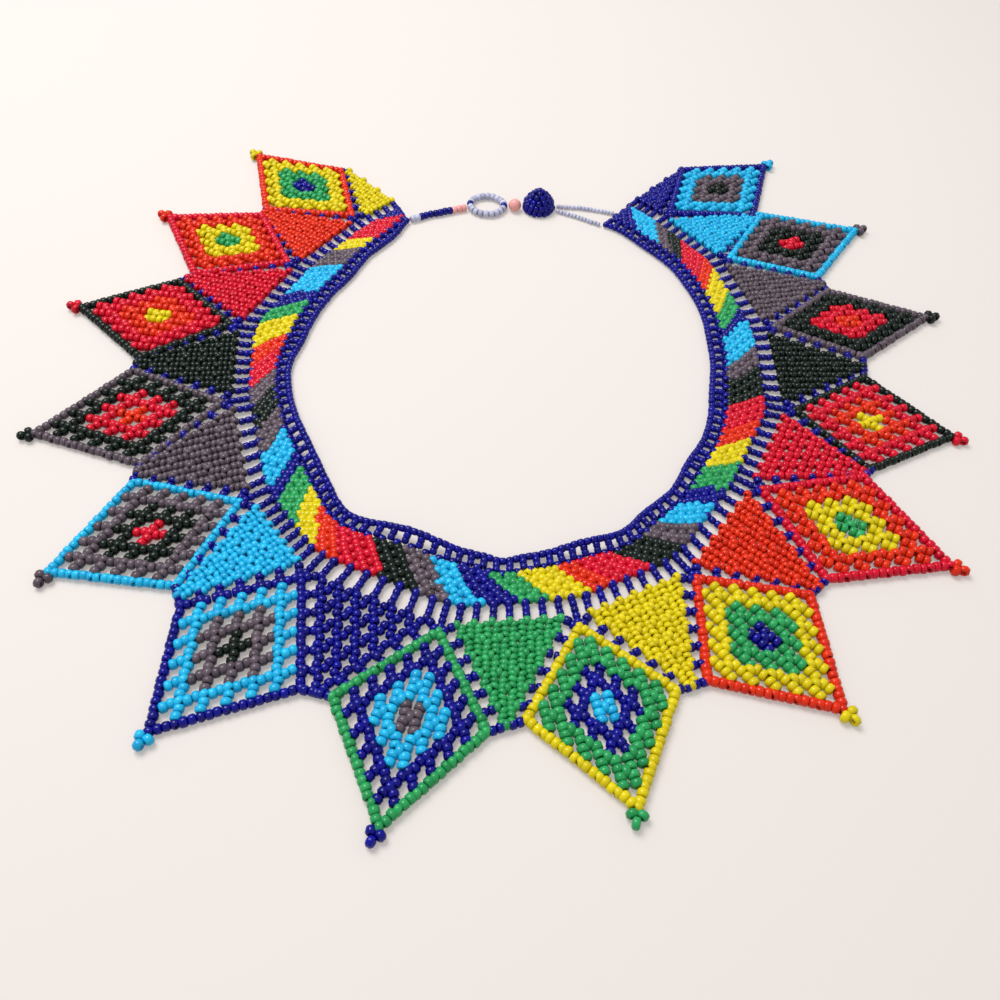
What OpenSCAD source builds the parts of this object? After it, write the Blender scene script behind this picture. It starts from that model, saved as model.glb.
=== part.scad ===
// Flat beaded collar: a netted band with fourteen diamond points, closed by a loop and a button.
// Millimetres. The collar lies on the floor, z up, the closing at the far side (+y).

/* [Beads] */
// Diameter of one seed bead, which is the thickness of the net
bead_d = 2.15; // [1.5:0.05:4]
// Space left between neighbouring pieces
piece_gap = 0.25; // [0.15:0.05:0.5]

/* [Diamond points] */
// Share of a point's length at which it is widest
widest_at = 0.46; // [0.35:0.01:0.6]

/* [Fillings] */
// Length of the two-bead ties between a point and the filling next to it
tie_len = 4.7; // [3:0.1:6]

/* [Neck band] */
// Length of the spokes that carry the fillings
spoke_len = 5; // [3.5:0.1:7]
// Length of the short bars between the band and the rim
bar_len = 3.9; // [2.5:0.1:5]

/* [Closing] */
// Thickness of the left string
string_d = 2; // [1:0.1:3]
// Thickness of each strand on the right
strand_d = 1.5; // [1:0.1:2]
// Thickness of the loop
loop_d = 2.15; // [1.5:0.05:3]
// Diameter of the single round bead
single_d = 4.2; // [2:0.1:5]
// Width of the button at its foot
button_w = 11; // [6:0.1:14]
// Height of the button
button_h = 7.8; // [5:0.1:14]

/* [Hidden] */
$fn = 48;
bead_r = bead_d / 2;

// The fourteen points, counted from the left end round the front to the right end, about the
// middle of the collar: where the inner corner lies, which way the axis runs, how long it is,
// and how far the two side corners stand off the axis.
// [angle, radius, direction, length, off to the near side, off to the far side]
POINTS = [
  [130.5, 84.8, 140.5, 47, 14.5, 17.5],
  [151.5, 81, 156, 45, 15.5, 18.5],
  [174, 82.5, 176, 44, 16, 17.5],
  [196, 80.5, 199, 47.5, 18, 17],
  [220.5, 85.5, 211.5, 46, 18, 17],
  [239, 89, 239, 47.5, 17, 19],
  [262, 89.5, 260.5, 45.5, 18, 16],
  [283, 87, 286, 43, 17.5, 16.5],
  [304.5, 84, 313, 43.5, 18, 18],
  [329, 78, 335.5, 48, 19, 17.5],
  [352.5, 80, 352, 42.5, 17.5, 18],
  [377, 81.5, 371, 48, 15, 14.5],
  [399.5, 87.5, 384, 47.5, 17, 17],
  [417.5, 92.5, 402, 47, 17.5, 15.5]
];
last = len(POINTS) - 1;

// The half fillings at the two ends: [apex x, apex y, free end of the base x, y]
LEFT_END = [-59.5, 89.5, -43.2, 74.2];
RIGHT_END = [54.5, 103.2, 39, 84.3];

// Half outline of the three-bead picot beyond a tip: [along the axis, across it]
PICOT = [
  [0.6, 0.95],
  [0.8, 1.8],
  [1.5, 2.1],
  [2.3, 1.8],
  [2.7, 1],
  [4.1, 0.7]
];

// Radius of the rim every ten degrees, from 116 degrees at the left end to 426 at the right
rim_from = 116;
rim_step = 10;
RIM = [
  77.3, 68.7, 65.2, 61.6, 60.9, 60.6, 60.6, 62.4, 62.3, 62.2, 62.6, 64.8, 68.3, 66.3, 66.1, 66.7,
  66.3, 65.4, 65.2, 61.7, 60.6, 58.1, 58.1, 57.5, 57, 58.3, 60.1, 63.2, 66.2, 69.5, 71.6, 74.9
];
// Where the rim is pushed out, and where it stands off the floor: [angle, amount, half width]
DIPS = [[271, 1.3, 3]];
LIFTS = [[252, 2.6, 8], [290, 2.4, 8], [212, 1.5, 12]];

// Columns of the band: eight to a point, with three more at each end
per_point = 8;
end_cols = 3;
columns = end_cols + 1 + last * per_point + 1 + end_cols + 1;
station_step = 2;
// Extra turn of each of the last columns toward the right tip, degrees
end_skew = 0.7;
// Share of the free width that the bars take where the band narrows
narrow_share = 0.33;
// How far a piece stays off the middle line of a neighbour's outer beads
flank_off = bead_r + piece_gap;
// How far a spoke stays off a point's inner corner, to pass between the fillings beside it
corner_off = 3.9;

// The closing, about the middle of the collar: [x, y]
STRING_LEFT = [[-35.9, 65], [-30.5, 68.3], [-24.5, 70.9], [-18.4, 73.5]];
STRAND_FRONT = [[11.5, 75.8], [16.6, 74.1], [21.6, 71.9], [26.1, 69.9]];
STRAND_BACK = [[11.6, 78.3], [18.5, 78.5], [25, 77.8], [30.8, 76.6]];
LOOP = [-11.6, 75.8];
LOOP_RADII = [5.6, 5];
SINGLE = [-2.35, 75.6];
BUTTON = [5.6, 77.1];
// Half section of the button: [share of the half width, share of the height]
BUTTON_SECTION = [[0, 0], [0.9, 0], [1, 0.12], [0.9, 0.36], [0.58, 0.72], [0.28, 0.94], [0, 1]];

// The middle of the collar stands here in the frame, whose origin is the middle of the footprint
MIDDLE = [0.432, 12.469];

// Plane geometry
function heading(a) = [cos(a), sin(a)];
function left_of(v) = [-v[1], v[0]];
function unit(v) = v / norm(v);
function between(p, q, t) = p + (q - p) * t;
// Point where the line from p along d meets the line from q along e
function meet(p, d, q, e) = p + d * cross(q - p, e) / cross(d, e);

// Corners of point i
function axis(i) = heading(POINTS[i][2]);
function inner(i) = POINTS[i][1] * heading(POINTS[i][0]);
function tip(i) = inner(i) + POINTS[i][3] * axis(i);
function waist(i) = inner(i) + widest_at * POINTS[i][3] * axis(i);
function side_near(i) = waist(i) - POINTS[i][4] * left_of(axis(i));
function side_far(i) = waist(i) + POINTS[i][5] * left_of(axis(i));

// Ends of the fillings' bases, a tie's length off the inner flanks of point i
function flank_near(i) = unit(side_near(i) - inner(i));
function flank_far(i) = unit(side_far(i) - inner(i));
function base_near(i) = inner(i) - tie_len * left_of(flank_near(i));
function base_far(i) = inner(i) + tie_len * left_of(flank_far(i));

// Outline p grown by r on every side, by moving each edge out and meeting it with the next
function edge_dir(p, i) = unit(p[(i + 1) % len(p)] - p[i]);
function edge_start(p, i, r) = p[i] - r * left_of(edge_dir(p, i));
function grown(p, r) = [
  for (i = [0:len(p) - 1])
    let (h = (i + len(p) - 1) % len(p))
    meet(edge_start(p, h, r), edge_dir(p, h), edge_start(p, i, r), edge_dir(p, i))
];

// Outline of point i: the grown diamond with the picot in place of its sharp tip
function point_outline(i) =
  let (g = grown([inner(i), side_near(i), tip(i), side_far(i)], bead_r), n = left_of(axis(i)))
  concat(
    [g[0], g[1]],
    [for (p = PICOT) tip(i) + p[0] * axis(i) - p[1] * n],
    [for (k = [len(PICOT) - 1:-1:0]) tip(i) + PICOT[k][0] * axis(i) + PICOT[k][1] * n],
    [g[3]]
  );

// Outline of the filling between points i and i + 1, with the ties on both of its sides.
// It ends a gap short of both points; foot is the outer line of the base.
function wedge_outline(i) =
  let (
    b = base_far(i),
    c = base_near(i + 1),
    along = unit(c - b),
    apex = (side_far(i) + side_near(i + 1)) / 2,
    foot = b + bead_r * left_of(along),
    top = apex - bead_r * left_of(along),
    f1 = flank_far(i),
    f2 = flank_near(i + 1),
    s1 = inner(i) + flank_off * left_of(f1),
    s2 = inner(i + 1) - flank_off * left_of(f2),
    t1 = inner(i) - bead_r * f1,
    t2 = inner(i + 1) - bead_r * f2,
    u1 = meet(s1, f1, top, along),
    u2 = meet(s2, f2, top, along),
    crossed = (u2 - u1) * along < 2 * piece_gap
  )
  concat(
    [meet(t1, left_of(f1), foot, along), meet(t2, left_of(f2), foot, along)],
    [meet(s2, f2, t2, left_of(f2))],
    crossed ? [meet(s1, f1, s2, f2)] : [u2, u1],
    [meet(s1, f1, t1, left_of(f1))]
  );

// Outline of the half filling beyond the first point
function left_end_outline() =
  let (
    apex = [LEFT_END[0], LEFT_END[1]],
    free = [LEFT_END[2], LEFT_END[3]],
    c = base_near(0),
    along = unit(c - free),
    foot = c + bead_r * left_of(along),
    edge = unit(free - apex),
    rim = apex + bead_r * left_of(edge),
    f = flank_near(0),
    s = inner(0) - flank_off * left_of(f),
    t = inner(0) - bead_r * f,
    top = apex - bead_r * edge
  )
  [
    meet(rim, edge, foot, along),
    meet(t, left_of(f), foot, along),
    meet(s, f, t, left_of(f)),
    meet(s, f, top, left_of(edge)),
    meet(rim, edge, top, left_of(edge))
  ];

// Outline of the half filling beyond the last point
function right_end_outline() =
  let (
    apex = [RIGHT_END[0], RIGHT_END[1]],
    free = [RIGHT_END[2], RIGHT_END[3]],
    b = base_far(last),
    along = unit(free - b),
    foot = b + bead_r * left_of(along),
    edge = unit(apex - free),
    rim = apex + bead_r * left_of(edge),
    f = flank_far(last),
    s = inner(last) + flank_off * left_of(f),
    t = inner(last) - bead_r * f
  )
  [
    meet(t, left_of(f), foot, along),
    meet(rim, edge, foot, along),
    meet(rim, edge, s, f),
    meet(s, f, t, left_of(f))
  ];

// Outer end of column k: a junction on a filling's base, or the inner corner of a point
function point_of(k) = floor((k - end_cols - 1) / per_point);
function place_of(k) = k <= end_cols ? k - end_cols - 1 : (k - end_cols - 1) % per_point;
function at_corner(k) = place_of(k) == 0;
function foot_of(k) =
  let (i = point_of(k), j = place_of(k))
  k <= end_cols ? between([LEFT_END[2], LEFT_END[3]], base_near(0), k / end_cols)
  : j == 0 ? inner(i)
  : i < last ? between(base_far(i), base_near(i + 1), (j - 1) / (per_point - 2))
  : between(base_far(last), [RIGHT_END[2], RIGHT_END[3]], (j - 1) / end_cols);
function line_foot(k) = at_corner(k) ? (foot_of(k - 1) + foot_of(k + 1)) / 2 : foot_of(k);

// Angle of column k, which runs from 116 degrees on over 360
function raw_angle(p) = (atan2(p[1], p[0]) + 360) % 360;
function wrapped(a) = a < 110 ? a + 360 : a;
function angle_of(k) =
  wrapped(raw_angle(line_foot(k))) + end_skew * max(0, k - (columns - end_cols - 2));

// Sum of smooth bumps at angle a
function bumps(table, a) = [for (b = table) b[1] * exp(-pow((a - b[0]) / b[2], 2))] * [for (b = table) 1];

// Smooth curve through the rim radii at angle a
function rim_at(i) = RIM[min(max(i, 0), len(RIM) - 1)];
function rim_curve(i, t) =
  let (a = rim_at(i - 1), b = rim_at(i), c = rim_at(i + 1), d = rim_at(i + 2))
  (2 * b + (c - a) * t + (2 * a - 5 * b + 4 * c - d) * t * t + (3 * b - a - 3 * c + d) * t * t * t) / 2;
function rim_radius(a) =
  let (x = min((a - rim_from) / rim_step, len(RIM) - 1.001), i = floor(x))
  rim_curve(i, x - i) + bumps(DIPS, a);

// What each column needs: [outer end, row next to the spokes, row next to the bars, rim,
// direction toward the rim, direction along the band, lift of the rim]
function column(k) =
  let (
    a = angle_of(k),
    f = line_foot(k),
    rim = rim_radius(a) * heading(a),
    toward = unit(rim - f),
    lift = bumps(LIFTS, a),
    free = norm(rim - f) - spoke_len,
    bar = min(sqrt(bar_len * bar_len - lift * lift), narrow_share * free)
  )
  [foot_of(k), f + spoke_len * toward, rim - bar * toward, rim, toward, left_of(-toward), lift];
COLUMNS = [for (k = [0:columns - 1]) column(k)];
STATIONS = [for (k = [0:station_step:columns - 1]) COLUMNS[k]];

// Direction of the filling's base at column k
function base_dir(k) =
  let (n = k == columns - 1 || at_corner(k + 1) ? k - 1 : k)
  unit(foot_of(n + 1) - foot_of(n));

// Outline of the band: out along each spoke and back, then home along the inner side.
// A spoke ends along the base of its filling, or square before a point's inner corner.
function spoke(k) =
  let (
    c = COLUMNS[k],
    side = bead_r * c[5],
    root = c[1] - bead_r * c[4],
    end_dir = at_corner(k) ? c[5] : base_dir(k),
    end = c[0] + (at_corner(k) ? corner_off * c[4] : flank_off * left_of(end_dir))
  )
  [
    root - side,
    meet(root - side, c[4], end, end_dir),
    meet(root + side, c[4], end, end_dir),
    root + side
  ];
function band_outline() =
  concat(
    [for (k = [0:columns - 1]) each spoke(k)],
    [for (s = [len(STATIONS) - 1:-1:0]) band_side(s)]
  );
// The inner side is carried half a bead past the two ends
function past_end(s) = s == 0 ? -1 : s == len(STATIONS) - 1 ? 1 : 0;
function band_side(s) =
  STATIONS[s][2] + bead_r * STATIONS[s][4] + past_end(s) * bead_r * STATIONS[s][5];

// Section of the bars and the rim at station s: from the band's side up to the lifted rim
function rim_section(s) =
  let (
    c = STATIONS[s],
    shift = past_end(s) * bead_r * c[5],
    near = c[2] + flank_off * c[4] + shift,
    mid = c[3] + shift,
    lip = c[3] + bead_r * c[4] + shift,
    up = c[6]
  )
  [
    [near[0], near[1], 0],
    [mid[0], mid[1], up],
    [lip[0], lip[1], up + 0.3 * bead_d],
    [lip[0], lip[1], up + 0.7 * bead_d],
    [mid[0], mid[1], up + bead_d],
    [near[0], near[1], bead_d]
  ];

// Skin through a list of sections with the same number of corners, capped at both ends
function skin_faces(rings, m) =
  concat(
    [[for (j = [0:m - 1]) j]],
    [
      for (r = [0:rings - 2])
        for (j = [0:m - 1])
          let (n = (j + 1) % m)
          each [
            [r * m + j, (r + 1) * m + j, r * m + n],
            [r * m + n, (r + 1) * m + j, (r + 1) * m + n]
          ]
    ],
    [[for (j = [m - 1:-1:0]) (rings - 1) * m + j]]
  );
module skin(sections) {
  polyhedron(
    points = [for (s = sections) each s],
    faces = skin_faces(len(sections), len(sections[0]))
  );
}

// Round section of diameter d at p, square to direction v, resting at height d / 2
sides = 8;
function round_section(p, v, d) =
  let (n = left_of(v))
  [
    for (j = [0:sides - 1])
      let (a = 360 * (j + 0.5) / sides, r = d / 2 / cos(180 / sides))
      [p[0] + r * cos(a) * n[0], p[1] + r * cos(a) * n[1], d / 2 + r * sin(a)]
  ];
function path_dir(path, i) = unit(path[min(i + 1, len(path) - 1)] - path[max(i - 1, 0)]);
module cord(path, d) {
  skin([for (i = [0:len(path) - 1]) round_section(path[i], path_dir(path, i), d)]);
}

// Closed ring of the loop
loop_parts = 20;
function loop_point(i) =
  let (a = 360 * i / loop_parts)
  LOOP + [LOOP_RADII[0] * cos(a), LOOP_RADII[1] * sin(a)];
function loop_dir(i) = unit(loop_point(i + 1) - loop_point(i - 1));
module ring() {
  m = sides;
  polyhedron(
    points = [for (i = [0:loop_parts - 1]) each round_section(loop_point(i), loop_dir(i), loop_d)],
    faces = [
      for (i = [0:loop_parts - 1])
        for (j = [0:m - 1])
          let (n = (j + 1) % m, q = (i + 1) % loop_parts)
          each [
            [i * m + j, q * m + j, i * m + n],
            [i * m + n, q * m + j, q * m + n]
          ]
    ]
  );
}

// Colours of the outlines, repeating after eight points
OUTLINE = ["Orange", "Red", "DarkSlateGray", "DimGray", "DeepSkyBlue", "Navy", "SeaGreen", "Gold"];

module at_middle() {
  translate([MIDDLE[0], MIDDLE[1], 0]) children();
}
module net(outline) {
  at_middle() linear_extrude(height = bead_d) polygon(outline);
}
module point(number) {
  color(OUTLINE[(number - 1) % len(OUTLINE)]) net(point_outline(number - 1));
}
module wedge(number) {
  color(OUTLINE[(number - 1) % len(OUTLINE)]) net(wedge_outline(number - 1));
}
module wedge_left_end() {
  color("Yellow") net(left_end_outline());
}
module wedge_right_end() {
  color("Navy") net(right_end_outline());
}
module neck_band() {
  color("MediumBlue") net(band_outline());
}
module neck_rim() {
  color("Navy") at_middle() skin([for (s = [0:len(STATIONS) - 1]) rim_section(s)]);
}
module string_left() {
  color("Navy") at_middle() cord(STRING_LEFT, string_d);
}
module clasp_loop() {
  color("LightSteelBlue") at_middle() ring();
}
module clasp_bead() {
  color("Salmon") at_middle() translate([SINGLE[0], SINGLE[1], single_d / 2]) sphere(d = single_d);
}
module clasp_button() {
  section = [for (p = BUTTON_SECTION) [p[0] * button_w / 2, p[1] * button_h]];
  color("Navy") at_middle() translate([BUTTON[0], BUTTON[1], 0]) rotate_extrude() polygon(section);
}
module strand_front() {
  color("LightSteelBlue") at_middle() cord(STRAND_FRONT, strand_d);
}
module strand_back() {
  color("LightSteelBlue") at_middle() cord(STRAND_BACK, strand_d);
}

point(1);  // point_01
point(2);  // point_02
point(3);  // point_03
point(4);  // point_04
point(5);  // point_05
point(6);  // point_06
point(7);  // point_07
point(8);  // point_08
point(9);  // point_09
point(10);  // point_10
point(11);  // point_11
point(12);  // point_12
point(13);  // point_13
point(14);  // point_14
wedge_left_end();
wedge(1);  // wedge_01
wedge(2);  // wedge_02
wedge(3);  // wedge_03
wedge(4);  // wedge_04
wedge(5);  // wedge_05
wedge(6);  // wedge_06
wedge(7);  // wedge_07
wedge(8);  // wedge_08
wedge(9);  // wedge_09
wedge(10);  // wedge_10
wedge(11);  // wedge_11
wedge(12);  // wedge_12
wedge(13);  // wedge_13
wedge_right_end();
neck_band();
neck_rim();
string_left();
clasp_loop();
clasp_bead();
clasp_button();
strand_front();
strand_back();
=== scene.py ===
# A flat collar of netted glass seed beads, laid on a table: fourteen diamond points and the
# fillings between them hang by spokes from a band of colour blocks, and the band carries a rim
# of dark blue beads. Plans are in millimetres about the middle of the collar, meshes in metres.
import math

import bpy
import numpy as np
from mathutils import Matrix


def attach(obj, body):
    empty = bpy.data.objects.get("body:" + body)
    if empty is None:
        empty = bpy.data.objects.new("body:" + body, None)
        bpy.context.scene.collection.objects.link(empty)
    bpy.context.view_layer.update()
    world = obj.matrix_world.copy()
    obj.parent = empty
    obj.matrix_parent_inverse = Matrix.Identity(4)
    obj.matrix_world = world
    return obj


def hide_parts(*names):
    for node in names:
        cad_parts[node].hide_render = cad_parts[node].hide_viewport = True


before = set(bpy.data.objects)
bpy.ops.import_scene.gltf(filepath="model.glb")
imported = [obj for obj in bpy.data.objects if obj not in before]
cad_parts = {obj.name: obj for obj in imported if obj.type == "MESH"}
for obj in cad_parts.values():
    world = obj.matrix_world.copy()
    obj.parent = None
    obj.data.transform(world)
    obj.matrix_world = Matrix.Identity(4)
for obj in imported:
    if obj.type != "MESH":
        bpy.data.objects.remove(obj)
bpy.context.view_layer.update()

# The camera stands in front of the collar and looks down on it at about fifty degrees, with its
# head a little on one side. Its distance is that of a telephone held over a table.
sensor_mm = 36
focal_share = 0.96
nearest = 0.01
look_down = math.radians(51.5)
lean = math.radians(-3.9)
camera_place = (-0.000168, -0.18743, 0.19081)

camera_data = bpy.data.cameras.new("camera")
camera_data.sensor_width = sensor_mm
camera_data.lens = focal_share * sensor_mm
camera_data.clip_start = nearest
camera = bpy.data.objects.new("camera", camera_data)
bpy.context.scene.collection.objects.link(camera)
bpy.context.scene.camera = camera
right = (math.cos(lean), -math.sin(look_down) * math.sin(lean), -math.cos(look_down) * math.sin(lean))
up = (math.sin(lean), math.sin(look_down) * math.cos(lean), math.cos(look_down) * math.cos(lean))
back = (0, -math.cos(look_down), math.sin(look_down))
turn = Matrix((right, up, back)).transposed().to_4x4()
camera.matrix_world = Matrix.Translation(camera_place) @ turn
bpy.context.scene.view_settings.view_transform = "Standard"

# The table is a smooth white sheet, lit by the sky of a bright room and by one wide window
# behind the collar, so that the shadows stay soft and each bead carries one small glint. The
# sheet glows a little, so that it is as bright in the holes of the net as beside the collar.
table_half = 8
table_colour = (0.43, 0.392, 0.37)
table_glow = (0.3, 0.288, 0.278)
window_size = 0.45
window_place = (-0.28, 0.22, 0.7)
window_power = 6.4
room_colour = (1.0, 0.985, 0.97)
room_strength = 0.62

table_mesh = bpy.data.meshes.new("table")
corners = [(-1, -1), (1, -1), (1, 1), (-1, 1)]
table_mesh.from_pydata([(x * table_half, y * table_half, 0) for x, y in corners], [], [(0, 1, 2, 3)])
table = bpy.data.objects.new("table", table_mesh)
bpy.context.scene.collection.objects.link(table)
sheet = bpy.data.materials.new("white_sheet")
sheet.use_nodes = True
sheet_shader = sheet.node_tree.nodes["Principled BSDF"]
sheet_shader.inputs["Base Color"].default_value = (*table_colour, 1)
sheet_shader.inputs["Emission Color"].default_value = (*table_glow, 1)
sheet_shader.inputs["Emission Strength"].default_value = 1
sheet_shader.inputs["Roughness"].default_value = 0.75
sheet_shader.inputs["Specular IOR Level"].default_value = 0.2
table_mesh.materials.append(sheet)

window_data = bpy.data.lights.new("window", "AREA")
window_data.size = window_size
window_data.energy = window_power
window = bpy.data.objects.new("window", window_data)
window.location = window_place
window.rotation_euler = (-window.location).to_track_quat("-Z", "Y").to_euler()
bpy.context.scene.collection.objects.link(window)

room = bpy.data.worlds.new("room")
room.use_nodes = True
room.node_tree.nodes["Background"].inputs["Color"].default_value = (*room_colour, 1)
room.node_tree.nodes["Background"].inputs["Strength"].default_value = room_strength
bpy.context.scene.world = room

# A diamond point is a net of opaque glass seed beads on nylon thread: seven by seven shared
# beads that lie across the point's axis, and two beads on each thread between two of them. It
# is worked in squares of one colour inside another, with a picot of three beads at the tip.
mm = 0.001
cells = 6
side_beads = 2
widest_at = 0.46
bead_width, bead_length, bead_sides = 2.4, 1.75, 8
thread_width = 0.2
thread_pitch = 1.8
rng = np.random.default_rng(14)
# Where the middle of the plans lies in the frame
middle = np.array([0.432, 12.469])

# Where each inner corner lies about the middle of the collar, which way its point runs, how
# long it is, how far its two side corners stand off its axis, and how far its threads leave the
# middles of the shared beads: the less they do, the more open the net lies
POINTS = np.array([
    # angle, radius, direction, length, near side, far side, aside
    (130.5, 84.8, 140.5, 47.0, 14.5, 17.5, 1.2),
    (151.5, 81.0, 156.0, 45.0, 15.5, 18.5, 1.2),
    (174.0, 82.5, 176.0, 44.0, 16.0, 17.5, 1.15),
    (196.0, 80.5, 199.0, 47.5, 18.0, 17.0, 0.5),
    (220.5, 85.5, 211.5, 46.0, 18.0, 17.0, 0.5),
    (239.0, 89.0, 239.0, 47.5, 17.0, 19.0, 0.6),
    (262.0, 89.5, 260.5, 45.5, 18.0, 16.0, 1.1),
    (283.0, 87.0, 286.0, 43.0, 17.5, 16.5, 1.35),
    (304.5, 84.0, 313.0, 43.5, 18.0, 18.0, 1.35),
    (329.0, 78.0, 335.5, 48.0, 19.0, 17.5, 1.35),
    (352.5, 80.0, 352.0, 42.5, 17.5, 18.0, 0.6),
    (377.0, 81.5, 371.0, 48.0, 15.0, 14.5, 1.1),
    (399.5, 87.5, 384.0, 47.5, 17.0, 17.0, 1.2),
    (417.5, 92.5, 402.0, 47.0, 17.5, 15.5, 1.2),
])
SQUARES = ("outline", "outer_square", "inner_square", "cross")
# A net whose threads lie further aside than this is a close one, and its beads are drawn wider
# and turned along their threads. Those along the outline are narrower and strung nearly straight
open_up_to = 0.7
close_bead_width, open_bead_width = 2.9, 2.6
close_edge_width, open_edge_width = 2.65, bead_width
net_bead_length = 1.85
edge_aside = 0.2
# How far the shared beads inside a point ride up between the beads of its threads
point_ridge = 0.3
# Two close points have one square that lies open
OPEN_SQUARES = {7: "outer_square", 8: "inner_square"}
open_square_aside = 0.5
# Which way the picot of a point is bent, where it doesn't follow the axis
PICOT_BENDS = {5: 249, 6: 248, 7: 247, 8: 264, 9: 312, 11: 336}
# Two beads of the picot stand side by side off the tip, toed in, and the third across its end
picot_start, picot_aside, picot_toe, picot_end = 1.5, 1.05, 0.3, 3.3

# Eight opaque glasses, each from a deep tone to a light one, in the order that the colours of
# the points take round the collar
GLASSES = {
    # deep tone, light tone
    "yellow": ((0.50, 0.40, 0.0), (0.70, 0.58, 0.003)),
    "orange": ((0.50, 0.010, 0.002), (0.70, 0.030, 0.003)),
    "red": ((0.42, 0.001, 0.012), (0.66, 0.003, 0.028)),
    "black": ((0.001, 0.005, 0.003), (0.004, 0.012, 0.008)),
    "grey": ((0.056, 0.040, 0.052), (0.13, 0.098, 0.124)),
    "light_blue": ((0.004, 0.28, 0.54), (0.014, 0.48, 0.78)),
    "dark_blue": ((0.0002, 0.0005, 0.11), (0.001, 0.0015, 0.26)),
    "green": ((0.008, 0.19, 0.052), (0.028, 0.37, 0.11)),
}
CYCLE = list(GLASSES)
cloud_scale, cloud_detail, cloud_share = 900, 3, 0.5
best_polish, worst_polish = 0.1, 0.24


def glass(name, deep, light):
    """Opaque glass whose colour runs from deep to light with the tone of each bead plus a share
    of a fine cloud in the melt, and whose polish and surface vary with the same cloud."""
    material = bpy.data.materials.new(name)
    material.use_nodes = True
    nodes, links = material.node_tree.nodes, material.node_tree.links
    shader = nodes["Principled BSDF"]
    shader.inputs["IOR"].default_value = 1.52
    shader.inputs["Specular IOR Level"].default_value = 0.24
    place = nodes.new("ShaderNodeTexCoord")
    tone = nodes.new("ShaderNodeAttribute")
    tone.attribute_name = "tone"
    cloud = nodes.new("ShaderNodeTexNoise")
    cloud.inputs["Scale"].default_value = cloud_scale
    cloud.inputs["Detail"].default_value = cloud_detail
    spread = nodes.new("ShaderNodeMath")
    spread.operation = "MULTIPLY_ADD"
    spread.inputs[1].default_value = cloud_share
    ramp = nodes.new("ShaderNodeValToRGB")
    ramp.color_ramp.elements[0].color = (*deep, 1)
    ramp.color_ramp.elements[1].color = (*light, 1)
    polish = nodes.new("ShaderNodeMapRange")
    polish.inputs["To Min"].default_value = best_polish
    polish.inputs["To Max"].default_value = worst_polish
    ripple = nodes.new("ShaderNodeBump")
    ripple.inputs["Strength"].default_value = 0.06
    ripple.inputs["Distance"].default_value = 0.0002
    links.new(place.outputs["Object"], cloud.inputs["Vector"])
    links.new(cloud.outputs["Fac"], spread.inputs[0])
    links.new(tone.outputs["Fac"], spread.inputs[2])
    links.new(spread.outputs[0], ramp.inputs["Fac"])
    links.new(ramp.outputs["Color"], shader.inputs["Base Color"])
    links.new(cloud.outputs["Fac"], polish.inputs["Value"])
    links.new(polish.outputs["Result"], shader.inputs["Roughness"])
    links.new(cloud.outputs["Fac"], ripple.inputs["Height"])
    links.new(ripple.outputs["Normal"], shader.inputs["Normal"])
    return material


GLASS = {name: glass("glass_" + name, *tones) for name, tones in GLASSES.items()}
# The thread's dark tone is painted shade, for the turns of its twist that lie under; its pale tone is its
# own colour
nylon_twist_shade, nylon_pale = (0.30, 0.31, 0.38), (0.66, 0.66, 0.70)
twist_scale = 4000


def nylon():
    """Twisted nylon thread: pale, with fine dark flecks of painted shade where its twist turns under."""
    material = bpy.data.materials.new("nylon_thread")
    material.use_nodes = True
    nodes, links = material.node_tree.nodes, material.node_tree.links
    shader = nodes["Principled BSDF"]
    shader.inputs["Roughness"].default_value = 0.55
    place = nodes.new("ShaderNodeTexCoord")
    twist = nodes.new("ShaderNodeTexNoise")
    twist.inputs["Scale"].default_value = twist_scale
    ramp = nodes.new("ShaderNodeValToRGB")
    ramp.color_ramp.elements[0].color = (*nylon_twist_shade, 1)
    ramp.color_ramp.elements[1].color = (*nylon_pale, 1)
    links.new(place.outputs["Object"], twist.inputs["Vector"])
    links.new(twist.outputs["Fac"], ramp.inputs["Fac"])
    links.new(ramp.outputs["Color"], shader.inputs["Base Color"])
    return material


THREAD = nylon()


def unit(v):
    """Vectors divided by their length."""
    return v / np.linalg.norm(v, axis=-1, keepdims=True)


def heading(degrees):
    """Unit vectors at these angles from +x."""
    a = np.radians(degrees)
    return np.stack([np.cos(a), np.sin(a)], -1)


def left_of(v):
    """Plan vectors turned a quarter turn to the left."""
    return np.stack([-v[..., 1], v[..., 0]], -1)


def joined_mesh(name, points, faces, material, tone=None):
    """One object from arrays of corners in millimetres about the collar's middle, and of quads.
    Each corner goes to (corner + middle) * mm in the frame."""
    mesh = bpy.data.meshes.new(name)
    placed = (points + [*middle, 0]) * mm
    mesh.vertices.add(len(placed))
    mesh.vertices.foreach_set("co", placed.ravel())
    mesh.loops.add(faces.size)
    mesh.loops.foreach_set("vertex_index", faces.ravel())
    mesh.polygons.add(len(faces))
    mesh.polygons.foreach_set("loop_start", np.arange(len(faces)) * faces.shape[1])
    mesh.polygons.foreach_set("use_smooth", np.ones(len(faces), bool))
    if tone is not None:
        mesh.attributes.new("tone", "FLOAT", "POINT").data.foreach_set("value", tone.ravel())
    mesh.update(calc_edges=True)
    mesh.materials.append(material)
    piece = bpy.data.objects.new(name, mesh)
    bpy.context.scene.collection.objects.link(piece)
    return piece


def across(axes):
    """Two unit vectors square to each axis and to one another: one level, one upward."""
    level = unit(np.cross([0, 0, 1.0], axes))
    return level, np.cross(axes, level)


def ring_faces(rings, sides):
    """Quads between rings of corners, from each to the ring after it and from the last one back
    to the first."""
    r = np.arange(rings)[:, None]
    s = np.arange(sides)[None]
    a, b = r * sides + s, r * sides + (s + 1) % sides
    c, d = (r + 1) % rings * sides + (s + 1) % sides, (r + 1) % rings * sides + s
    return np.stack([a, b, c, d], -1).reshape(-1, 4)


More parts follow.
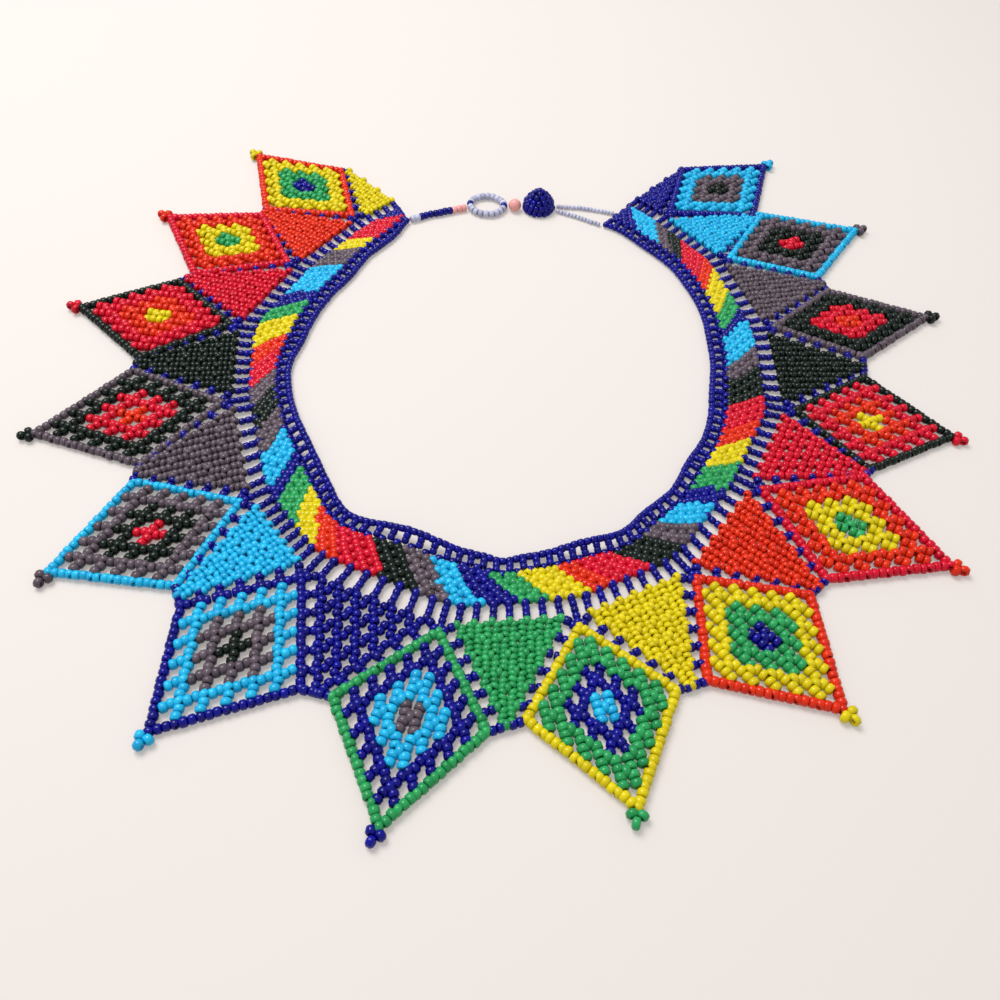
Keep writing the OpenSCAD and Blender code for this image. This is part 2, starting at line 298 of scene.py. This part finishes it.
# Section of a bead, from the left end of its hole over the outside and back through the hole:
# along the hole in half lengths, and out from it in radii
SECTION = np.array([(-1, 0.68), (-0.55, 0.98), (0.55, 0.98), (1, 0.68), (0.76, 0.4), (-0.76, 0.4)])
# How beads differ: tilt of the hole, shift in plan and rise off the table, shares of length and
# width, and tone
usual_tilt, usual_shift, rise = 0.07, 0.045, 0.06
length_spread, width_spread = 0.05, 0.02
mean_tone, tone_spread = 0.25, 0.16


def beads(
    name, middles, axes, material, width=bead_width, length=bead_length, tilt=usual_tilt, shift=usual_shift
):
    """Seed beads at middles (x, y, z) with their holes along axes, as one joined mesh.
    Each is the section carried round its hole: middle + along * axis + out * (cos t * level +
    sin t * upward). Sizes, places and tilts vary a little, and so does each bead's tone."""
    n = len(middles)
    corners = len(SECTION) * bead_sides
    axes = unit(unit(axes) + rng.normal(0, tilt, (n, 3)))
    middles = middles + rng.normal(0, shift, (n, 3)) * [1, 1, 0]
    middles[:, 2] += np.abs(rng.normal(0, rise, n))
    level, upward = across(axes)
    t = rng.uniform(0, 2 * np.pi, (n, 1, 1, 1))
    t = t + (2 * np.pi * np.arange(bead_sides) / bead_sides)[:, None]
    round_hole = np.cos(t) * level[:, None, None] + np.sin(t) * upward[:, None, None]
    along, out = SECTION[:, 0, None, None], SECTION[:, 1, None, None]
    along = along * length / 2 * rng.normal(1, length_spread, (n, 1, 1, 1))
    out = out * width / 2 * rng.normal(1, width_spread, (n, 1, 1, 1))
    points = middles[:, None, None] + along * axes[:, None, None] + out * round_hole
    faces = ring_faces(len(SECTION), bead_sides) + np.arange(n)[:, None, None] * corners
    tone = np.repeat(rng.normal(mean_tone, tone_spread, n), corners)
    return joined_mesh(name, points.reshape(-1, 3), faces.reshape(-1, 4), material, tone)


def threads(name, starts, ends):
    """Straight lengths of thread from starts to ends, as one joined mesh: a square of four
    corners round the line at each end, closed by its own face."""
    level, upward = across(unit(ends - starts))
    t = np.pi / 4 + np.pi / 2 * np.arange(4)[None, :, None]
    square = (np.cos(t) * level[:, None] + np.sin(t) * upward[:, None]) * thread_width / 2
    points = np.concatenate([starts[:, None] + square, ends[:, None] + square], 1)
    shell = np.array([(0, 1, 5, 4), (1, 2, 6, 5), (2, 3, 7, 6), (3, 0, 4, 7), (3, 2, 1, 0), (4, 5, 6, 7)])
    faces = shell + np.arange(len(starts))[:, None, None] * points.shape[1]
    return joined_mesh(name, points.reshape(-1, 3), faces.reshape(-1, 4), THREAD)


def fasten(piece, node):
    """The piece rides with the collar and stands for a CAD node, which it hides."""
    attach(piece, "root")
    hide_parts(node)


def lying(plan, lift=0):
    """Plan points given the height at which a bead lies on the table, or lift above it."""
    height = np.broadcast_to(bead_width / 2 + lift, plan.shape[:-1])
    return np.concatenate([plan, height[..., None]], -1)


def level3(v):
    """Plan vectors as level vectors in space."""
    return np.concatenate([v, np.zeros((*v.shape[:-1], 1))], -1)


def strung(start, end, across_start, across_end, count, aside, pitch=thread_pitch, slid=0, turned=False):
    """Beads on a thread between two shared beads. It leaves each of them near one end of its
    hole, aside from its middle. The beads stand pitch apart about the middle of the line between
    these two places, or slid along it. They point from one shared bead to the other or, where
    turned is set, along that line."""
    a, b = start + aside * across_start, end + aside * across_end
    steps = pitch * (np.arange(count)[:, None] - (count - 1) / 2) + slid
    places = (a + b)[..., None, :] / 2 + steps * unit(b - a)[..., None, :]
    way = b - a if turned else end - start
    return places.reshape(-1, 2), np.broadcast_to(way[..., None, :], places.shape).reshape(-1, 2)


point_angle, point_radius, point_run, point_length, near_off, far_off, thread_aside = POINTS.T
inner = point_radius[:, None] * heading(point_angle)
axis = heading(point_run)
tip = inner + point_length[:, None] * axis
waist = inner + widest_at * point_length[:, None] * axis
side_near = waist - near_off[:, None] * left_of(axis)
side_far = waist + far_off[:, None] * left_of(axis)

# Shared bead (s, t) lies between the four corners in these shares: inner, far, near and tip. Its
# square is counted from the outline
s, t = np.meshgrid(np.arange(cells + 1) / cells, np.arange(cells + 1) / cells, indexing="ij")
weights = [(1 - s) * (1 - t), s * (1 - t), (1 - s) * t, s * t]
square = cells // 2 - np.maximum(abs(s - 0.5), abs(t - 0.5)) * cells
square = np.round(square).astype(int)
far_square = np.maximum(square[:-1], square[1:])
near_square = np.maximum(square[:, :-1], square[:, 1:])

for i in range(len(POINTS)):
    node = f"point_{i + 1:02d}"
    corners = [inner[i], side_far[i], side_near[i], tip[i]]
    shared = sum(weight[..., None] * corner for weight, corner in zip(weights, corners))

    close = thread_aside[i] > open_up_to
    asides, widths = [edge_aside], [close_edge_width if close else open_edge_width]
    for part in SQUARES[1:]:
        opened = OPEN_SQUARES.get(i + 1) == part
        asides.append(open_square_aside if opened else thread_aside[i])
        widths.append(close_bead_width if close and not opened else open_bead_width)
    asides = np.array(asides)
    far_aside, near_aside = asides[far_square][..., None], asides[near_square][..., None]

    far = left_of(axis[i])
    far_beads, far_lines = strung(
        shared[:-1], shared[1:], far, -far, side_beads, far_aside, turned=close
    )
    near_beads, near_lines = strung(
        shared[:, :-1], shared[:, 1:], -far, far, side_beads, near_aside, turned=close
    )
    bend = heading(PICOT_BENDS.get(i + 1, point_run[i]))
    side = left_of(bend)
    picot = tip[i] + np.array([
        picot_start * bend + picot_aside * side,
        picot_start * bend - picot_aside * side,
        picot_end * bend,
    ])
    picot_lines = [bend - picot_toe * side, bend + picot_toe * side, side]
    places = np.concatenate([shared.reshape(-1, 2), far_beads, near_beads, picot])
    lines = np.concatenate([np.tile(far, (square.size, 1)), far_lines, near_lines, picot_lines])
    squares = np.concatenate([
        square.ravel(),
        np.repeat(far_square, side_beads),
        np.repeat(near_square, side_beads),
        np.full(len(picot), SQUARES.index("outer_square")),
    ])
    raised = np.zeros(len(squares))
    raised[:square.size] = np.where(square.ravel(), point_ridge, 0)

    for depth, (part, width) in enumerate(zip(SQUARES, widths)):
        mine = squares == depth
        colour = CYCLE[(i + 1 - depth) % len(CYCLE)]
        spots = lying(places[mine], raised[mine] + (width - bead_width) / 2)
        piece = beads(f"{node}_{part}", spots, level3(lines[mine]), GLASS[colour], width, net_bead_length)
        fasten(piece, node)
    starts = np.concatenate([shared[:-1].reshape(-1, 2), shared[:, :-1].reshape(-1, 2), tip[i:i + 1]])
    ends = np.concatenate([shared[1:].reshape(-1, 2), shared[:, 1:].reshape(-1, 2), picot[2:]])
    fasten(threads(f"{node}_thread", lying(starts), lying(ends)), node)

# A filling is a triangle of a like net in one colour, between two points, with three thinner
# beads on each thread, or two in the two that lie loose. Pairs of dark blue beads tie each
# shared bead of its two long sides to the shared bead of the point beside it.
tie_length = 4.7
tie_beads, tie_aside = 2, 0.4
# How a filling is worked: beads on a thread, how far it leaves the middles of the shared beads,
# how far apart its beads stand and are slid along it, up on one side and down on the other, how
# far the shared beads ride up between them, and how wide, long, tilted and shifted beads are
NETS = {
    # beads, aside, pitch, slide, ridge, width, length, tilt, shift
    "close": (3, 1.1, 1.42, 0.15, 0.4, 2.4, 1.5, 0.1, 0.07),
    "loose": (2, 0.7, 1.7, 0, 0, 2.4, 1.75, usual_tilt, usual_shift),
}
LOOSE = ("wedge_06", "wedge_10")
# Outer and inner corner of the collar's two ends
LEFT_END = np.array([(-59.5, 89.5), (-43.2, 74.2)])
RIGHT_END = np.array([(54.5, 103.2), (39.0, 84.3)])

flank_near = unit(side_near - inner)
flank_far = unit(side_far - inner)
base_near = inner - tie_length * left_of(flank_near)
base_far = inner + tie_length * left_of(flank_far)


def stepped(start, end):
    """Places of the shared beads along one edge of a net: start + k/6 * (end - start)."""
    return start + np.arange(cells + 1)[:, None] / cells * (end - start)


def filling(node, colour, apex, from_corner, to_corner, ties, halved=False):
    """Shared bead k of row m lies at apex + m/6 * (from_corner - apex) + k/6 * (to_corner -
    from_corner), for k up to m, or up to half of m in a halved filling. Each is strung to beads
    k and k + 1 of the next row. ties holds the places in the filling and in the points that dark
    blue beads join, and the ways in which the thread leaves them."""
    net = NETS["loose" if node in LOOSE else "close"]
    count, aside, pitch, slide, ridge, width, length, tilt, shift = net
    base = unit(to_corner - from_corner)
    shared, starts, ends, leave, slid = [], [], [], [], []
    for m in range(cells + 1):
        last = m // 2 if halved else m
        along_base = np.arange(last + 1)[:, None] / cells * (to_corner - from_corner)
        row = apex + m / cells * (from_corner - apex) + along_base
        shared.append(row)
        if m:
            for on in (0, 1):
                kept = [k for k in range(len(shared[m - 1])) if k + on <= last]
                starts.append(shared[m - 1][kept])
                ends.append(row[[k + on for k in kept]])
                leave.append(np.tile(base if on else -base, (len(kept), 1)))
                slid.append(np.full((len(kept), 1, 1), slide if on else -slide))
    shared, starts, ends, leave, slid = map(np.concatenate, (shared, starts, ends, leave, slid))
    places, lines = strung(starts, ends, leave, -leave, count, aside, pitch, slid)
    places = np.concatenate([lying(shared, ridge), lying(places)])
    lines = np.concatenate([np.tile(base, (len(shared), 1)), lines])
    piece = beads(node + "_net", places, level3(lines), GLASS[colour], width, length, tilt, shift)
    fasten(piece, node)

    here, there, out_here, out_there = ties
    places, lines = strung(here, there, out_here, out_there, tie_beads, tie_aside)
    piece = beads(node + "_ties", lying(places), level3(lines), GLASS["dark_blue"])
    fasten(piece, node)
    starts, ends = np.concatenate([starts, here]), np.concatenate([ends, there])
    fasten(threads(node + "_thread", lying(starts), lying(ends)), node)


last_point = len(POINTS) - 1
for i in range(last_point):
    apex = (side_far[i] + side_near[i + 1]) / 2
    base = unit(base_near[i + 1] - base_far[i])
    ties = (
        np.concatenate([stepped(apex, base_far[i]), stepped(apex, base_near[i + 1])]),
        np.concatenate([stepped(side_far[i], inner[i]), stepped(side_near[i + 1], inner[i + 1])]),
        np.repeat([-base, base], cells + 1, axis=0),
        np.repeat([left_of(axis[i]), -left_of(axis[i + 1])], cells + 1, axis=0),
    )
    colour = CYCLE[(i + 1) % len(CYCLE)]
    filling(f"wedge_{i + 1:02d}", colour, apex, base_far[i], base_near[i + 1], ties)

# The two ends of the collar are half fillings, cut along their middle
apex, free_left = LEFT_END
foot = base_near[0]
edges = stepped(apex, foot), stepped(side_near[0], inner[0])
ties = *edges, unit(foot - free_left), -left_of(axis[0])
filling("wedge_left_end", "yellow", apex, foot, 2 * free_left - foot, ties, halved=True)
apex, free_right = RIGHT_END
foot = base_far[last_point]
edges = stepped(apex, foot), stepped(side_far[last_point], inner[last_point])
ties = *edges, unit(foot - free_right), left_of(axis[last_point])
filling("wedge_right_end", "dark_blue", apex, foot, 2 * free_right - foot, ties, halved=True)

# The band is a close net round the neck: six rows of shared beads, each row half a column off
# the last, with one bead on each thread between them. It is worked in slanting blocks of
# colour. Spokes of two dark blue beads carry the fillings, and longer ones the points.
per_point = cells + 2
end_steps = 3
rows = 6
spoke_length, spoke_beads = 5, 2
thin_width = 1.95
band_aside = 1.05
band_width, band_length, band_tilt, band_shift = 2.45, 1.85, 0.13, 0.09
# The bars between the band and the rim, and the share of the width that they take where the
# two lie close together
bar_length = 3.9
narrow_share = 0.33
# Each of the last columns at the right end stands this many degrees further on
end_skew = 0.7
# Angles run from the left end round the front, and on past 360 to the right end
least_angle = 110
RIM_FROM, RIM_STEP = 116, 10
# Radius of the rim every ten degrees, from the left end round the front to the right end
RIM = np.array([
    77.3, 68.7, 65.2, 61.6, 60.9, 60.6, 60.6, 62.4, 62.3, 62.2, 62.6, 64.8, 68.3, 66.3, 66.1, 66.7,
    66.3, 65.4, 65.2, 61.7, 60.6, 58.1, 58.1, 57.5, 57.0, 58.3, 60.1, 63.2, 66.2, 69.5, 71.6, 74.9,
])
# Where the rim is pushed out, and where it stands off the table: angle, amount, half width
DIPS = [(271, 1.3, 3)]
LIFTS = [(252, 2.6, 8), (290, 2.4, 8), (212, 1.5, 12)]
# Angle at which each block begins, along the middle row of the band
BLOCKS = [
    (100, "dark_blue"), (123, "red"), (134, "yellow"), (139, "grey"), (147, "light_blue"),
    (159, "dark_blue"), (164, "green"), (170, "yellow"), (178, "orange"), (183, "red"),
    (191, "grey"), (196, "black"), (203, "grey"), (210, "light_blue"), (218, "dark_blue"),
    (222, "green"), (228, "yellow"), (234, "orange"), (239, "red"), (247, "black"),
    (254, "grey"), (259, "light_blue"), (265, "dark_blue"), (271, "green"), (277, "yellow"),
    (284, "orange"), (288, "red"), (296, "black"), (304, "grey"), (310, "light_blue"),
    (317, "dark_blue"), (322, "green"), (330, "yellow"), (338, "orange"), (344, "red"),
    (353, "black"), (362, "grey"), (368, "light_blue"), (378, "dark_blue"), (382, "green"),
    (388, "yellow"), (396, "orange"), (400, "red"), (408, "black"), (412, "grey"),
    (416, "light_blue"), (424, "dark_blue"),
]
block_starts = np.array([start for start, _ in BLOCKS])
block_glass = np.array([colour for _, colour in BLOCKS])


def bumps(table, a):
    """Sum of smooth bumps at angles a: amount * exp(-((a - angle) / half width) ** 2)."""
    return sum(amount * np.exp(-(((a - at) / half) ** 2)) for at, amount, half in table)


def rim_radius(a):
    """Smooth curve through the rim radii at angles a: the cubic of the four radii round a."""
    just_inside = len(RIM) - 1.001
    x = np.minimum((a - RIM_FROM) / RIM_STEP, just_inside)
    k = np.floor(x).astype(int)
    p, q, r, s = (RIM[np.clip(k + j, 0, len(RIM) - 1)] for j in (-1, 0, 1, 2))
    x = x - k
    curve = 2 * q + (r - p) * x + (2 * p - 5 * q + 4 * r - s) * x**2 + (3 * q - p - 3 * r + s) * x**3
    return curve / 2 + bumps(DIPS, a)


# Outer end of each column: a shared bead of a filling's base, or the inner corner of a point
end_shares = np.arange(end_steps + 1)[:, None] / end_steps
feet = [free_left + end_shares * (base_near[0] - free_left)]
for i in range(len(POINTS)):
    feet.append(inner[i:i + 1])
    if i < last_point:
        feet.append(stepped(base_far[i], base_near[i + 1]))
feet.append(base_far[last_point] + end_shares * (free_right - base_far[last_point]))
feet = np.concatenate(feet)
columns = len(feet)

# The band's outer edge runs on smoothly past the corners of the points
column = np.arange(columns)
at_corner = np.flatnonzero(column % per_point == end_steps + 1)
smooth = feet.copy()
smooth[at_corner] = (feet[at_corner - 1] + feet[at_corner + 1]) / 2
angle = np.degrees(np.arctan2(smooth[:, 1], smooth[:, 0])) % 360
angle = np.where(angle < least_angle, angle + 360, angle)
angle += end_skew * np.maximum(0, column - (columns - end_steps - 2))

lift = bumps(LIFTS, angle)
rim_foot = rim_radius(angle)[:, None] * heading(angle)
toward = unit(rim_foot - smooth)
outer_row = smooth + spoke_length * toward
free_width = np.linalg.norm(rim_foot - smooth, axis=1) - spoke_length
bar = np.minimum(np.sqrt(bar_length**2 - lift**2), narrow_share * free_width)
inner_row = rim_foot - bar[:, None] * toward
along = -left_of(toward)

# Rows 0 to 5 go from the spokes to the bars; every other row stands half a column further on
share = np.arange(rows)[:, None, None] / (rows - 1)
net = outer_row + share * (inner_row - outer_row)
half_on = (net[:, :-1] + net[:, 1:]) / 2
half_angle = (angle[:-1] + angle[1:]) / 2
half_along = (along[:-1] + along[1:]) / 2

# Blocks slant by half a column a row, and the first and last rows keep the first block's colour
slant = np.mean(np.diff(angle)) / 2
middle_row = (rows - 1) / 2
edge_hue = block_starts[0]
places, lines, hues, starts, ends = [], [], [], [], []
for r in range(rows):
    odd = r % 2 == 1
    row, row_angle, row_along = (half_on[r], half_angle, half_along) if odd else (net[r], angle, along)
    places.append(row)
    lines.append(row_along)
    at_edge = r in (0, rows - 1)
    hues.append(np.full(len(row), edge_hue) if at_edge else row_angle + (r - middle_row) * slant)
    if r:
        upper, upper_angle, upper_along = row_before
        for on in (0, 1):
            whole, part = slice(None), slice(on, columns - 1 + on)
            a, b = (part, whole) if odd else (whole, part)
            sign = 1 if odd == (on == 0) else -1
            mid, way = strung(upper[a], row[b], sign * upper_along[a], -sign * row_along[b], 1, band_aside)
            places.append(mid)
            lines.append(way)
            hues.append((upper_angle[a] + row_angle[b]) / 2 + (r - 0.5 - middle_row) * slant)
            starts.append(upper[a])
            ends.append(row[b])
    row_before = row, row_angle, row_along
places, lines, hues = map(np.concatenate, (places, lines, hues))
block = block_glass[np.searchsorted(block_starts, hues, side="right") - 1]
for colour in CYCLE:
    mine = block == colour
    spots, holes = lying(places[mine]), level3(lines[mine])
    size = band_width, band_length, band_tilt, band_shift
    piece = beads("neck_band_" + colour, spots, holes, GLASS[colour], *size)
    fasten(piece, "neck_band")

places, lines = [], []
for foot, end in zip(feet, outer_row):
    count = max(spoke_beads, round(np.linalg.norm(end - foot) / bead_length) - 1)
    share = (np.arange(count) + 1)[:, None] / (count + 1)
    places.append(foot + share * (end - foot))
    lines.append(np.tile(end - foot, (count, 1)))
places, lines = lying(np.concatenate(places)), level3(np.concatenate(lines))
piece = beads("neck_band_spokes", places, lines, GLASS["dark_blue"], thin_width)
fasten(piece, "neck_band")
starts, ends = np.concatenate([*starts, feet]), np.concatenate([*ends, outer_row])
fasten(threads("neck_band_thread", lying(starts), lying(ends)), "neck_band")

# The rim is one string of dark blue beads round the neck. Short bars of two beads hold it to
# the band, and it stands a little off the table where the collar is pushed together.
rim_pitch = 1.62
rim_tilt = 0.05
bar_beads, bar_margin = 2, 0.9
# How many degrees the rim runs on past the first and last bars, and the steps it is drawn in
rim_over = 0.6
rim_steps = 4000


def spaced(line, pitch):
    """Places of beads about pitch apart along a fine line in space, and their directions. The
    line's length is shared out evenly, and each place is read off at its length along the line."""
    run = np.concatenate([[0], np.cumsum(np.linalg.norm(np.diff(line, axis=0), axis=1))])
    count = round(run[-1] / pitch)
    at = (np.arange(count) + 0.5) / count * run[-1]
    places = np.stack([np.interp(at, run, line[:, j]) for j in range(3)], -1)
    return places, np.gradient(places, axis=0)


low, high = lying(inner_row), lying(rim_foot, lift)
share = (np.arange(bar_beads) + bar_margin)[:, None] / (bar_beads - 1 + 2 * bar_margin)
bar_places = low[:, None] + (high - low)[:, None] * share
bar_lines = np.repeat(high - low, bar_beads, axis=0)
piece = beads("neck_rim_bars", bar_places.reshape(-1, 3), bar_lines, GLASS["dark_blue"], thin_width)
fasten(piece, "neck_rim")

fine = np.linspace(angle[0] - rim_over, angle[-1] + rim_over, rim_steps)
rim_line = lying(rim_radius(fine)[:, None] * heading(fine), bumps(LIFTS, fine))
places, lines = spaced(rim_line, rim_pitch)
piece = beads("neck_rim_row", places, lines, GLASS["dark_blue"], thin_width, tilt=rim_tilt)
fasten(piece, "neck_rim")
starts, ends = np.concatenate([low, places[:-1]]), np.concatenate([high, places[1:]])
fasten(threads("neck_rim_thread", starts, ends), "neck_rim")

# The left string is the first part of the closing, and leads from the left end to the loop. Its
# beads are dark blue ones on the same thread, with two of pale lilac glass next to the collar and
# three of pinkish glass next to the loop.
pale = glass("glass_pale", (0.30, 0.31, 0.44), (0.56, 0.57, 0.72))
pink = glass("glass_pink", (0.62, 0.22, 0.21), (0.80, 0.40, 0.38))
STRING_LEFT = np.array([(-35.9, 65), (-30.5, 68.3), (-24.5, 70.9), (-18.4, 73.5)])
path_steps = 200
pale_beads, pink_beads = 2, 3


def string_of(path, pitch, height):
    """Places and directions of beads pitch apart along a plan path that lies at one height."""
    fine = np.linspace(0, 1, path_steps) * (len(path) - 1)
    line = [np.interp(fine, np.arange(len(path)), path[:, j]) for j in (0, 1)]
    return spaced(np.stack([*line, np.full(path_steps, height)], -1), pitch)


places, lines = string_of(STRING_LEFT, rim_pitch, bead_width / 2)
to_pink = len(places) - pink_beads
stretches = [
    ("pale", 0, pale_beads, pale),
    ("dark_blue", pale_beads, to_pink, GLASS["dark_blue"]),
    ("pink", to_pink, len(places), pink),
]
for colour, start, end, material in stretches:
    piece = beads("string_left_" + colour, places[start:end], lines[start:end], material)
    fasten(piece, "string_left")
fasten(threads("string_left_thread", places[:-1], places[1:]), "string_left")

# The loop is the end of the left string and goes over the button: a ring of pale lilac beads on
# thread, a little wider than deep, with a dark blue bead at its left and another at its right.
LOOP, LOOP_RADII = np.array([-11.6, 75.8]), np.array([5.6, 5.0])
loop_beads = 20


def circle(count, first=0):
    """Plan vectors to count even places round a circle: cos and sin of 2 pi (k + first) / count."""
    t = 2 * np.pi * (np.arange(count) + first) / count
    return np.stack([np.cos(t), np.sin(t)], -1)


places = lying(LOOP + LOOP_RADII * circle(loop_beads))
lines = level3(LOOP_RADII * left_of(circle(loop_beads)))
dark = np.arange(loop_beads) % (loop_beads // 2) == 0
piece = beads("clasp_loop_pale", places[~dark], lines[~dark], pale)
fasten(piece, "clasp_loop")
piece = beads("clasp_loop_sides", places[dark], lines[dark], GLASS["dark_blue"])
fasten(piece, "clasp_loop")
fasten(threads("clasp_loop_thread", places, np.roll(places, -1, axis=0)), "clasp_loop")

# The round bead is a single larger one of pinkish glass between the loop and the button, with
# its hole towards the button. Its skin is rings of a ball from one end of the hole to the other,
# closed back through the hole.
SINGLE, single_width = np.array([-2.35, 75.6]), 4.2
BUTTON = np.array([5.6, 77.1])
ball_rings, ball_sides, ball_hole = 15, 24, 0.24
ball_tone = 0.3
hole_turn = math.asin(ball_hole)
fi = np.linspace(hole_turn, np.pi - hole_turn, ball_rings)
section = np.stack([-np.cos(fi), np.sin(fi)], -1)[..., None] * single_width / 2
hole = level3(unit(BUTTON - SINGLE))
level, upward = across(hole[None])
cosine, sine = circle(ball_sides).T[..., None]
round_hole = cosine * level + sine * upward
ball = np.array([*SINGLE, single_width / 2]) + section[:, :1] * hole + section[:, 1:] * round_hole
tone = np.full(ball_rings * ball_sides, ball_tone)
faces = ring_faces(ball_rings, ball_sides)
piece = joined_mesh("clasp_bead_ball", ball.reshape(-1, 3), faces, pink, tone)
fasten(piece, "clasp_bead")

# The button is a hard core wrapped in courses of dark blue beads that close in to one at the
# top. The core is a turned profile, seen only as a dark shade between the beads.
COURSES = [
    # radius, height, beads
    (4.35, 1.10, 17), (4.05, 2.75, 16), (3.15, 4.10, 12), (2.15, 5.35, 8), (1.0, 6.35, 4), (0.0, 6.75, 1),
]
CORE = np.array([
    # radius, height
    (0.05, 0.15), (4.1, 0.15), (4.3, 1.1), (3.9, 2.7), (2.9, 4.0), (1.8, 5.2), (0.6, 6.1), (0.05, 6.2),
])
core_sides, core_tone = 24, 0.1
places, lines = [], []
for number, (radius, height, count) in enumerate(COURSES):
    course = circle(count, 0.5 * (number % 2))
    places.append(np.concatenate([BUTTON + radius * course, np.full((count, 1), height)], 1))
    lines.append(level3(left_of(course)))
piece = beads("clasp_button_courses", np.concatenate(places), np.concatenate(lines), GLASS["dark_blue"])
fasten(piece, "clasp_button")
core = BUTTON + CORE[:, None, :1] * circle(core_sides)
core = np.concatenate([core, np.broadcast_to(CORE[:, None, 1:], (len(CORE), core_sides, 1))], -1)
tone = np.full(len(CORE) * core_sides, core_tone)
faces = ring_faces(len(CORE), core_sides)
piece = joined_mesh("clasp_button_core", core.reshape(-1, 3), faces, GLASS["dark_blue"], tone)
fasten(piece, "clasp_button")

# Two thin strands lead from the button back to the right end, side by side. Their pale lilac
# beads are smaller than all the others, and fill all but a little of the thread.
STRAND_FRONT = np.array([(11.5, 75.8), (16.6, 74.1), (21.6, 71.9), (26.1, 69.9)])
STRAND_BACK = np.array([(11.6, 78.3), (18.5, 78.5), (25, 77.8), (30.8, 76.6)])
strand_width, strand_pitch, strand_fill = 1.5, 1.2, 0.95
for node, path in (("strand_front", STRAND_FRONT), ("strand_back", STRAND_BACK)):
    places, lines = string_of(path, strand_pitch, strand_width / 2)
    piece = beads(node + "_beads", places, lines, pale, strand_width, strand_pitch * strand_fill)
    fasten(piece, node)
    fasten(threads(node + "_thread", places[:-1], places[1:]), node)
